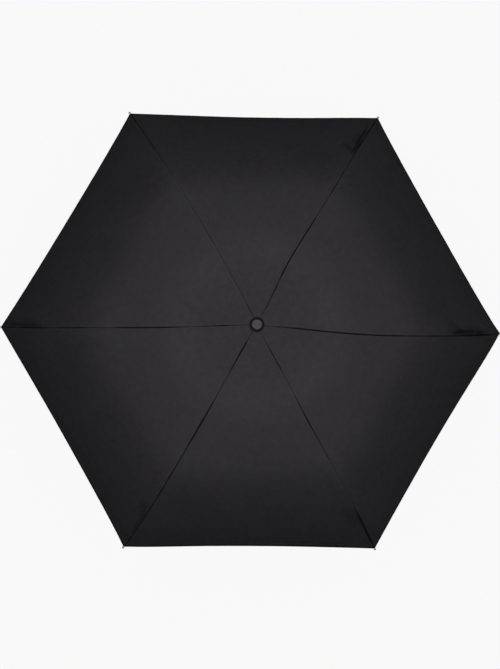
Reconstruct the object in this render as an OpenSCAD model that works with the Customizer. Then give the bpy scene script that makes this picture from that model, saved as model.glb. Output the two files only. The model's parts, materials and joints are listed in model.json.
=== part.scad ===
// Folding umbrella: six jointed ribs on a three-part telescopic shaft, shown open.
// The frame stands on +Z with its origin at the centre of the grip, and rib 1 points along +X.

/* [Handle] */
// Diameter of the grip
grip_d = 26; // [22:1:32]
// Length of the grip
grip_len = 52; // [44:1:80]
// Diameter of the core inside the grip
core_d = 20; // [14:1:20]
// Height of the collar above the grip
collar_len = 6; // [4:1:12]
// Height of the end cap below the grip
end_cap_len = 8; // [7:1:14]
// Diameter of the hole for a wrist cord
cord_hole_d = 3.2; // [2:0.2:4]

/* [Shaft] */
// Outside diameter of the lower tube
lower_tube_od = 7.2; // [6.8:0.1:8]
// Wall of each tube
tube_wall = 0.65; // [0.5:0.05:0.7]
// Running clearance of a sliding tube, on the radius
tube_fit = 0.05; // [0.03:0.01:0.08]
// Travel of each sliding tube
tube_travel = 150; // [145:1:170]
// Length of each tube that stays inside the next one
tube_overlap = 25; // [15:1:40]
// Thickness of the core left below the lower tube
seat_floor = 2; // [1:1:20]
// Gap left above the handle when the shaft is pushed in
handle_gap = 1; // [1:0.5:4]
// Width of the spring catches
catch_w = 1.8; // [1.4:0.1:2.2]
// Length of the spring catches
catch_len = 14.5; // [10:0.5:18]
// How far a catch stands out of its tube
catch_rise = 1.6; // [1:0.1:1.9]

/* [Rib linkage] */
// Radius from the shaft's axis to the rib hinges
hinge_r = 10; // [10:0.5:12]
// Height from the rib hinges to the top of the shaft
tube_above_hinge = 6; // [5:0.5:8]
// Length of a top rib between its hinges
top_rib_len = 154; // [140:1:158]
// Length of a stretcher, and from the crown to where it holds the top rib
stretcher_len = 82; // [78:1:84]
// Length of a middle rib between its hinges
middle_rib_len = 158; // [140:1:160]
// Length of a tip rib along its bend
tip_rib_len = 186; // [160:1:190]
// Slope of an open top rib, in degrees
top_slope = 14; // [12:1:15]
// Slope of an open middle rib, in degrees
middle_slope = 24; // [20:1:26]
// Slope of an open tip rib at its hinge, in degrees
tip_slope = 30; // [27:1:34]
// How far a tip rib bends along its length, in degrees
tip_bend = 14; // [8:1:18]
// Height of the elbow hinge above the top rib
elbow_rise = 2.3; // [2.2:0.1:2.6]
// Depth of the outer hinge below the middle rib
outer_drop = 1.5; // [1.4:0.1:1.8]
// Distance from the stretcher's hinge to the drive link's hinge
link_crank = 12; // [10:0.5:13]
// Distance from the elbow hinge to the drive link's far rivet
elbow_crank = 11.5; // [10.5:0.5:12]
// Distance from the elbow hinge to the pull wire's hinge
wire_crank = 5.5; // [5:0.1:6]

/* [Rib sections] */
// Width of a top rib's channel
top_rib_w = 3.6; // [3.2:0.1:3.8]
// Gap between a rib and the wider one that folds over it, each side
nest_gap = 0.25; // [0.2:0.05:0.35]
// Thickness of the sheet metal
sheet_t = 0.45; // [0.35:0.05:0.5]
// Depth of a channel below its line
channel_drop = 1.6; // [1.4:0.1:1.7]
// Height of a channel above its line
channel_rise = 1.5; // [1.2:0.1:1.6]
// Diameter of the rivets and hinge pins
pin_d = 1.5; // [1.2:0.1:1.6]
// Running clearance of a hinge pin, on the radius
pin_fit = 0.05; // [0.03:0.01:0.08]
// Diameter of the pull wires
wire_d = 1; // [0.8:0.1:1.2]
// Diameter of the tip ribs
tip_wire_d = 2.2; // [1.8:0.1:2.4]
// Thickness of the flat links and side plates
plate_t = 0.4; // [0.35:0.05:0.45]

/* [Canopy] */
// Thickness of the fabric's solid
fabric_t = 0.7; // [0.5:0.1:1]
// Height of the fabric above the lines of the ribs
fabric_lift = 5; // [4.9:0.1:5.6]
// Height of the fabric above the tip ribs' ends
tip_lift = 2.4; // [2.3:0.1:3]
// Diameter of the cap on the top
cap_d = 19.4; // [16:0.2:21]
// Height of the cap
cap_h = 3.2; // [2.4:0.2:5]
// Diameter of the ring below the cap
ring_d = 25; // [22:0.5:28]
// Width of the closing strap
strap_w = 14; // [10:1:18]
// Length of the closing strap
strap_len = 100; // [80:5:120]

/* [Hidden] */
rib_count = 6;
rib_step = 360 / rib_count;
catch_at = rib_step / 2;
$fn = 48;

// Tube sizes
mid_tube_od = lower_tube_od + 2 * (tube_fit + tube_wall);
upper_tube_od = mid_tube_od + 2 * (tube_fit + tube_wall);
tube_len = tube_travel + tube_overlap;
crown_room = 17;

// Heights along the shaft
grip_top = grip_len / 2;
grip_bottom = -grip_len / 2;
seat_bottom = grip_bottom + seat_floor;
collar_top = grip_top + collar_len;
lower_top = collar_top + handle_gap + tube_len;
mid_bottom = lower_top - tube_overlap;
mid_top = mid_bottom + tube_len;
upper_bottom = mid_top - tube_overlap;
upper_top = upper_bottom + tube_len + crown_room;
crown_z = upper_top - tube_above_hinge;

// Sizes across the rib sections
wide_in = top_rib_w + 2 * nest_gap;
wide_out = wide_in + 2 * sheet_t;
side_gap = 0.1;
plate_in = wide_out / 2 + side_gap;
plate_out = plate_in + plate_t;
wire_y = plate_out + 0.15 + wire_d / 2;
eye_d = 3.2;
bore_d = pin_d + 2 * pin_fit;

// Where each channel stops short of its hinges, and where its fork or tang begins
channel_start = 2;
fork_back = 8;
roof_back = 9;
socket_len = 4.5;
// Rivets of the links, and the sleeve and ball on a tip rib's end
rivet_head = 0.9;
link_pin_d = 1.2;
sleeve_d = 3.2;
sleeve_rim_d = 4;
sleeve_len = 9;
tip_ball_d = 3.9;

// Directions in the plane of a rib, for a slope below the horizontal
function along(t) = [cos(t), -sin(t)];
function above(t) = [sin(t), cos(t)];

// Hinges in the plane of a rib, as radius and height
crown_hinge = [hinge_r, crown_z];
stretcher_hinge = crown_hinge + stretcher_len * along(top_slope);
runner_hinge = stretcher_hinge + stretcher_len * along(180 - top_slope);
elbow = crown_hinge + top_rib_len * along(top_slope) + elbow_rise * above(top_slope);
middle_start = elbow - elbow_rise * above(middle_slope);
outer_hinge = middle_start + middle_rib_len * along(middle_slope)
    - outer_drop * above(middle_slope);
tip_start = outer_hinge + outer_drop * above(tip_slope);
tip_bend_r = tip_rib_len / (tip_bend * PI / 180);

// Ends of the drive link and of the pull wire
elbow_crank_angle = 165;
wire_crank_angle = 30;
outer_crank_ratio = 1.044;
link_start = stretcher_hinge + link_crank * along(180 - top_slope);
link_end = elbow + elbow_crank * along(middle_slope + elbow_crank_angle);
wire_start = elbow + wire_crank * along(top_slope + wire_crank_angle);
wire_end = outer_hinge
    + wire_crank * outer_crank_ratio * along(tip_slope + wire_crank_angle);

// Runner
runner_wall = 2.15;
runner_below = 20;
runner_above = 4;
flange_d = 2 * hinge_r + 5.6;
flange_low = 3.4;
flange_high = 2.5;
land_gap = 0.3;
seat_gap = 0.3;

// Lines of the fabric's underside over a rib, as radius and height
function over_top(s) = crown_hinge + s * along(top_slope) + fabric_lift * above(top_slope);
function over_middle(s) =
    middle_start + s * along(middle_slope) + fabric_lift * above(middle_slope);
function over_tip(f) = let (t = f * tip_bend, h = tip_bend_r)
    tip_start - h * above(tip_slope)
    + (h + fabric_lift + f * (tip_lift - fabric_lift)) * above(tip_slope + t);
// How far the fabric runs in past the rib hinges, to its centre hole
hole_in = 5;
fabric_line = concat(
    [for (f = [0:0.25:1]) over_top(-hole_in + f * (top_rib_len + hole_in))],
    [for (f = [0:0.25:1]) over_middle(f * (middle_rib_len - 2))],
    [for (f = [0.06:0.155:0.99]) over_tip(f)]);
fabric_last = len(fabric_line) - 1;
tip_reach = 3;

// Turns children from the plane of rib 1 to the plane of rib i
module at_rib(i) rotate([0, 0, (i - 1) * rib_step]) children();

// Sets children at a hinge, with their X axis along a slope
module set_along(p, slope) translate([p[0], 0, p[1]]) rotate([0, slope, 0]) children();

// A round bar across a rib, from y0 to y1
module cross_bar(d, y0, y1) translate([0, y1, 0]) rotate([90, 0, 0]) cylinder(d = d, h = y1 - y0);

// A flat plate in the plane of a rib, from y0 to y1, around a drawn outline
module side_plate(y0, y1) translate([0, y1, 0]) rotate([90, 0, 0]) linear_extrude(y1 - y0) children();

// A strip between two points, with round ends of diameters d0 and d1
module strip(p, q, d0, d1) {
    u = (q - p) / norm(q - p);
    w = [-u[1], u[0]];
    polygon([p + w * d0 / 2, p - w * d0 / 2, q - w * d1 / 2, q + w * d1 / 2]);
    translate(p) circle(d = d0);
    translate(q) circle(d = d1);
}

// Two side walls of a channel
module walls(x0, x1, low, high, inner, outer)
    for (y = [-outer, inner])
        translate([x0, y, low]) cube([x1 - x0, outer - inner, high - low]);

// A tube on the shaft's axis
module tube(od, id, low, high) translate([0, 0, low]) difference() {
    cylinder(d = od, h = high - low);
    translate([0, 0, -1]) cylinder(d = id, h = high - low + 2);
}

// ---- Handle ----

module handle_grip() color([0.07, 0.07, 0.08]) tube(grip_d, core_d, grip_bottom, grip_top);

module handle_core() color([0.2, 0.2, 0.21]) difference() {
    translate([0, 0, grip_bottom]) cylinder(d = core_d - 2 * tube_fit, h = grip_len);
    translate([0, 0, seat_bottom]) cylinder(d = lower_tube_od + 2 * tube_fit, h = grip_top - seat_bottom + 1);
}

module handle_collar() color([0.07, 0.07, 0.08]) translate([0, 0, grip_top]) difference() {
    rotate_extrude() polygon(concat([[0, 0], [grip_d / 2 - 0.4, 0]],
        [for (a = [0:15:90]) [grip_d / 2 - collar_len + (collar_len - 0.4) * cos(a), collar_len * sin(a)]],
        [[0, collar_len]]));
    translate([0, 0, -1]) cylinder(d = lower_tube_od + 2 * tube_fit, h = collar_len + 2);
}

module handle_end_cap() color([0.09, 0.09, 0.1]) translate([0, 0, grip_bottom - end_cap_len]) difference() {
    rotate_extrude() polygon(concat([[0, 0]],
        [for (a = [0:15:90]) [grip_d / 2 - 3.2 + 3 * sin(a), 3 - 3 * cos(a)]],
        [[grip_d / 2 - 0.2, end_cap_len], [0, end_cap_len]]));
    translate([0, 0, end_cap_len / 2]) cross_bar(cord_hole_d, -grip_d, grip_d);
    for (y = [-grip_d / 2, grip_d / 2])
        translate([0, y, end_cap_len / 2]) cross_bar(2 * cord_hole_d - 1, -2, 2);
}

// ---- Shaft ----

// The slot that a spring catch stands in
module catch_slot(top) rotate([0, 0, catch_at]) translate([0, -catch_w / 2 - 0.15, top - catch_len - 0.3])
    cube([upper_tube_od, catch_w + 0.3, catch_len + 0.6]);

// A leaf spring in a tube's wall, with a wedge that stands out at its top
module spring_catch(od, top) rotate([0, 0, catch_at])
    translate([0, catch_w / 2, top - catch_len]) rotate([90, 0, 0]) linear_extrude(catch_w) polygon([
        [od / 2 - 0.5, 0], [od / 2 - 0.1, 0], [od / 2 - 0.1, catch_len * 0.4],
        [od / 2 + catch_rise, catch_len - 1], [od / 2 + catch_rise, catch_len],
        [od / 2 - 0.5, catch_len]]);

lower_catch_top = mid_bottom - 0.5;
middle_catch_top = upper_bottom - 0.5;
runner_catch_top = runner_hinge[1] - runner_below - 0.5;

module lower_tube() color([0.72, 0.73, 0.75]) difference() {
    tube(lower_tube_od, lower_tube_od - 2 * tube_wall, seat_bottom, lower_top);
    catch_slot(lower_catch_top);
}

module middle_tube() color([0.72, 0.73, 0.75]) difference() {
    tube(mid_tube_od, mid_tube_od - 2 * tube_wall, mid_bottom, mid_top);
    catch_slot(middle_catch_top);
}

module upper_tube() color([0.72, 0.73, 0.75]) difference() {
    tube(upper_tube_od, upper_tube_od - 2 * tube_wall, upper_bottom, upper_top);
    catch_slot(runner_catch_top);
}

module lower_tube_catch() color([0.6, 0.61, 0.63]) spring_catch(lower_tube_od, lower_catch_top);
module middle_tube_catch() color([0.6, 0.61, 0.63]) spring_catch(mid_tube_od, middle_catch_top);
module runner_catch() color([0.6, 0.61, 0.63]) spring_catch(upper_tube_od, runner_catch_top);

// ---- Crown and runner ----

// Slots for the ribs, and bores for the pins that they turn on
module rib_slots(z, half, low, high, slot_r) for (i = [1:rib_count]) at_rib(i) {
    translate([slot_r, -half, z - low]) cube([flange_d, 2 * half, low + high]);
    translate([hinge_r, 0, z]) cross_bar(bore_d, -half - 2, half + 2);
}

module hinge_pins(z, half) for (i = [1:rib_count]) at_rib(i)
    translate([hinge_r, 0, z]) cross_bar(pin_d, -half - 1.9, half + 1.9);

runner_bore = upper_tube_od + 2 * tube_fit;
runner_d = upper_tube_od + 2 * runner_wall;
runner_half = wide_out / 2 + land_gap;
crown_half = top_rib_w / 2 + land_gap;

module runner() color([0.08, 0.08, 0.09]) difference() {
    union() {
        translate([0, 0, runner_hinge[1] - runner_below]) cylinder(d = runner_d, h = runner_below + runner_above);
        translate([0, 0, runner_hinge[1] - flange_low]) cylinder(d = flange_d, h = flange_low + flange_high);
        translate([0, 0, runner_hinge[1] - runner_below]) cylinder(d = runner_d + 4, h = 3.4);
    }
    translate([0, 0, runner_hinge[1] - runner_below - 1])
        cylinder(d = runner_bore, h = runner_below + runner_above + 2);
    rib_slots(runner_hinge[1], runner_half, flange_low + 1, flange_high + 1, runner_d / 2 + 0.1);
}

module runner_pins() color([0.7, 0.7, 0.72]) hinge_pins(runner_hinge[1], runner_half);

// The crown's top lies just under the fabric at its rim
crown_d = flange_d - 0.4;
crown_top = (fabric_lift - seat_gap) / cos(top_slope)
    - (crown_d / 2 / cos(rib_step / 2) - hinge_r) * tan(top_slope);

module crown() color([0.08, 0.08, 0.09]) difference() {
    union() {
        translate([0, 0, crown_z - 8]) cylinder(d = runner_d, h = 8 + crown_top);
        translate([0, 0, crown_z - flange_low]) cylinder(d = crown_d, h = flange_low + crown_top);
    }
    translate([0, 0, crown_z - 9]) cylinder(d = upper_tube_od + 2 * tube_fit, h = 10 + crown_top);
    rib_slots(crown_z, crown_half, flange_low + 1, crown_top + 1, runner_d / 2 + 0.1);
}

module crown_pins() color([0.7, 0.7, 0.72]) hinge_pins(crown_z, crown_half);

// ---- Cap ----

fabric_edge = over_top(-hole_in);
ring_slope = tan(top_slope);
ring_in = upper_tube_od / 2 + 0.3;
// Height of a point on the fabric's top, at radius r
function fabric_top(r) = fabric_edge[1] + fabric_t - (r - fabric_edge[0]) * ring_slope;
ring_t = 1.2;

module top_ring() color([0.06, 0.06, 0.065]) rotate_extrude() polygon([
    for (p = [[ring_in, 0], [ring_d / 2, 0], [ring_d / 2, 0.7], [ring_d / 2 - 0.6, ring_t], [ring_in, ring_t]])
        [p[0], fabric_top(p[0]) + 0.15 + p[1]]]);

cap_bottom = max(upper_top + 0.1, fabric_top(ring_in) + 0.25 + ring_t);

module top_cap() color([0.3, 0.3, 0.31]) {
    rotate_extrude() polygon(concat(
        [[0, cap_bottom], [ring_in + 1.5, cap_bottom], [cap_d / 2, cap_bottom - 0.6], [cap_d / 2, cap_bottom + cap_h - 2]],
        [for (a = [15:15:90]) [cap_d / 2 - 1 + cos(a), cap_bottom + cap_h - 2 + sin(a)]],
        [[cap_d * 0.31, cap_bottom + cap_h - 0.9], [cap_d * 0.29, cap_bottom + cap_h - 1.1],
         [cap_d * 0.27, cap_bottom + cap_h - 0.8], [0, cap_bottom + cap_h - 0.5]]));
    translate([0, 0, upper_top - 5])
        cylinder(d = upper_tube_od - 2 * tube_wall - 2 * tube_fit, h = cap_bottom - upper_top + 5.5);
}

// ---- Ribs ----

module top_rib() color([0.75, 0.76, 0.78]) set_along(crown_hinge, top_slope) difference() {
    union() {
        walls(channel_start, top_rib_len - channel_start, -channel_drop, channel_rise, top_rib_w / 2 - sheet_t, top_rib_w / 2);
        translate([channel_start, -top_rib_w / 2, channel_rise - sheet_t])
            cube([top_rib_len - channel_start - 5, top_rib_w, sheet_t]);
        side_plate(-top_rib_w / 2, top_rib_w / 2) {
            circle(d = eye_d);
            polygon([[0, eye_d / 2 - 0.1], [3.5, channel_rise], [3.5, -channel_drop], [0, -eye_d / 2]]);
        }
        side_plate(-top_rib_w / 2, top_rib_w / 2) {
            translate([top_rib_len, elbow_rise]) circle(d = eye_d);
            polygon([[top_rib_len - fork_back, -channel_drop], [top_rib_len - 1, -channel_drop],
                [top_rib_len + eye_d / 2, elbow_rise], [top_rib_len - eye_d / 2, elbow_rise],
                [top_rib_len - fork_back, channel_rise]]);
        }
        side_plate(-plate_out, -plate_in) {
            strip([top_rib_len - fork_back, -0.5], [top_rib_len - fork_back + 2, -0.5], 1.4, 1.4);
            strip([top_rib_len - fork_back + 2, -0.5], [top_rib_len, elbow_rise], 1.4, eye_d);
            strip([top_rib_len, elbow_rise], [top_rib_len, elbow_rise]
                + wire_crank * along(wire_crank_angle), eye_d, 2);
        }
        translate([top_rib_len - fork_back, -plate_out, -1.2]) cube([2, plate_out - 1, 1.4]);
        translate([top_rib_len + wire_crank * cos(wire_crank_angle), 0,
            elbow_rise - wire_crank * sin(wire_crank_angle)])
            cross_bar(wire_d, -wire_y - wire_d / 2 - 0.1, -plate_in);
        translate([stretcher_len, 0, 0]) {
            cross_bar(pin_d, -wide_out / 2 - plate_t, wide_out / 2 + plate_t);
            for (y = [-wide_out / 2 - plate_t, wide_out / 2 + pin_fit])
                cross_bar(pin_d + rivet_head, y, y + plate_t - pin_fit);
        }
    }
    cross_bar(bore_d, -top_rib_w, top_rib_w);
    translate([top_rib_len, 0, elbow_rise]) cross_bar(bore_d, -2 * top_rib_w, top_rib_w);
}

module stretcher() color([0.75, 0.76, 0.78]) set_along(stretcher_hinge, 180 - top_slope) difference() {
    union() {
        walls(0, stretcher_len - 2, -2.3, 0.4, wide_in / 2, wide_out / 2);
        translate([10, -wide_out / 2, -2.3]) cube([stretcher_len - 14, wide_out, sheet_t]);
        for (y = [-wide_out / 2, wide_in / 2]) side_plate(y, y + sheet_t) circle(d = eye_d - 0.2);
        translate([stretcher_len, 0, 0]) side_plate(-wide_out / 2, wide_out / 2) {
            circle(d = eye_d - 0.2);
            polygon([[0, 1.4], [-4, 0.4], [-5, -2.3], [-3.5, -2.3], [0, -1.5]]);
        }
        translate([link_crank, 0, 0])
            cross_bar(link_pin_d, wide_in / 2, plate_in + 2 * plate_t + 0.05);
    }
    cross_bar(bore_d, -wide_out, wide_out);
    translate([stretcher_len, 0, 0]) cross_bar(bore_d, -wide_out, wide_out);
}

module drive_link() color([0.7, 0.71, 0.73]) difference() {
    union() {
        side_plate(plate_in, plate_in + 2 * plate_t) strip(link_start, link_end, 2.8, 2.4);
        translate([link_end[0], 0, link_end[1]])
            cross_bar(1.6, wide_out / 2 + 0.05, plate_in + 2 * plate_t + 0.2);
    }
    translate([link_start[0], 0, link_start[1]]) cross_bar(link_pin_d + 2 * pin_fit, 0, 2 * wide_out);
}

module middle_rib() color([0.75, 0.76, 0.78]) set_along(middle_start, middle_slope) {
    rivet_end = [middle_rib_len, -outer_drop];
    root = [0, elbow_rise];
    crank = root + elbow_crank * along(elbow_crank_angle);
    walls(channel_start, middle_rib_len - channel_start / 2, -channel_drop, channel_rise, wide_in / 2, wide_out / 2);
    translate([roof_back, -wide_out / 2, channel_rise - sheet_t])
        cube([middle_rib_len - roof_back - 3, wide_out, sheet_t]);
    for (y = [-wide_out / 2, wide_in / 2]) side_plate(y, y + sheet_t) {
        translate(root) circle(d = eye_d);
        polygon([[-1.6, elbow_rise], [-0.4, -channel_drop], [6, -channel_drop], [6, channel_rise],
            [1.6, elbow_rise]]);
        translate(rivet_end) circle(d = eye_d);
        polygon([[middle_rib_len - 6, channel_rise], [middle_rib_len - 6, -channel_drop],
            [middle_rib_len - 1.6, -outer_drop], [middle_rib_len + 1.6, -outer_drop],
            [middle_rib_len + 0.6, channel_rise]]);
    }
    side_plate(wide_in / 2, wide_out / 2) strip(root, crank, eye_d, 2.6);
    translate([0, 0, elbow_rise]) cross_bar(pin_d, -plate_out, wide_out / 2);
    translate([middle_rib_len, 0, -outer_drop]) cross_bar(pin_d, -plate_out, plate_out);
}

module pull_wire() color([0.78, 0.79, 0.81]) {
    slope = atan2(wire_start[1] - wire_end[1], wire_end[0] - wire_start[0]);
    reach = norm(wire_end - wire_start);
    translate([0, -wire_y, 0]) set_along(wire_start, slope) difference() {
        union() {
            cross_bar(wire_d + 1.4, -wire_d / 2, wire_d / 2);
            translate([1, 0, 0]) rotate([0, 90, 0]) cylinder(d = wire_d, h = reach - 1);
            translate([reach, 0, 0]) cross_bar(wire_d + 1, -wire_d / 2, wire_y - plate_out - 0.05);
        }
        cross_bar(wire_d + 2 * pin_fit, -2, 2);
    }
}

module tip_rib() color([0.78, 0.79, 0.81]) set_along(tip_start, tip_slope) {
    root = [0, -outer_drop];
    difference() {
        union() {
            for (y = [-plate_out, plate_in]) side_plate(y, y + plate_t) {
                translate(root) circle(d = eye_d + 0.4);
                polygon([root + [0, -1.8], [5.5, -1], [5.5, 1.2], root + [0, 1.8]]);
            }
            side_plate(-plate_out, -plate_in)
                strip(root, root + wire_crank * outer_crank_ratio * along(wire_crank_angle), eye_d, 2.2);
            translate([socket_len, -plate_out, -1]) cube([socket_len, 2 * plate_out, tip_wire_d]);
        }
        translate([0, 0, -outer_drop]) cross_bar(bore_d, -wide_out, wide_out);
    }
    translate([0, 0, -tip_bend_r]) rotate([0, -90, -90]) rotate([0, 0, 2 * tip_bend / tip_rib_len])
        rotate_extrude(angle = tip_bend * (1 - 7 / tip_rib_len), $fn = 720)
            translate([tip_bend_r, 0]) circle(d = tip_wire_d, $fn = 24);
    translate([tip_bend_r * sin(tip_bend), 0, tip_bend_r * cos(tip_bend) - tip_bend_r]) rotate([0, tip_bend, 0]) {
        translate([-sleeve_len, 0, 0]) rotate([0, 90, 0]) cylinder(d = sleeve_d, h = sleeve_len + tip_reach);
        translate([tip_reach, 0, 0]) sphere(d = tip_ball_d);
        translate([-sleeve_len, 0, 0]) rotate([0, 90, 0]) cylinder(d = sleeve_rim_d, h = 2);
    }
}

// ---- Fabric ----

// A point of rib i's fabric line, lifted by h
function fabric_point(i, k, h) = let (p = fabric_line[k], a = (i - 1) * rib_step)
    [p[0] * cos(a), p[0] * sin(a), p[1] + h];

module canopy_panel(i) color([0.09, 0.09, 0.1]) {
    n = fabric_last;
    pts = [for (k = [0:n]) each [fabric_point(i, k, 0), fabric_point(i + 1, k, 0),
                                 fabric_point(i + 1, k, fabric_t), fabric_point(i, k, fabric_t)]];
    polyhedron(pts, concat(
        [for (k = [0:n - 1]) each [for (e = [0:3])
            let (a = 4 * k + e, b = 4 * k + (e + 1) % 4) [b, a, a + 4, b + 4]]],
        [[0, 1, 2, 3], [4 * n + 3, 4 * n + 2, 4 * n + 1, 4 * n]]));
}

// The strap lies under panel 5, along its hem
strap_in = 12;
module closing_strap() color([0.1, 0.1, 0.11]) {
    a = fabric_line[fabric_last - 1];
    b = fabric_line[fabric_last];
    slope = atan2(a[1] - b[1], (b[0] - a[0]) * cos(rib_step / 2));
    rotate([0, 0, 4.5 * rib_step]) translate([b[0] * cos(rib_step / 2), 0, b[1]]) rotate([0, slope, 0])
        translate([-strap_in - strap_w, -strap_len / 2, -1.1]) cube([strap_w, strap_len, 0.8]);
}

handle_grip();
handle_core();
handle_collar();
handle_end_cap();
lower_tube();
middle_tube();
upper_tube();
lower_tube_catch();
middle_tube_catch();
runner_catch();
runner();
runner_pins();
crown();
crown_pins();
top_ring();
top_cap();
closing_strap();
for (i = [1:rib_count]) at_rib(i) {
    top_rib();
    stretcher();
    drive_link();
    middle_rib();
    pull_wire();
    tip_rib();
}
for (i = [1:rib_count])
    canopy_panel(i);
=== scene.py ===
"""Folding umbrella, shown open: its fabric, fittings, finishes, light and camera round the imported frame."""
import json
import math

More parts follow.
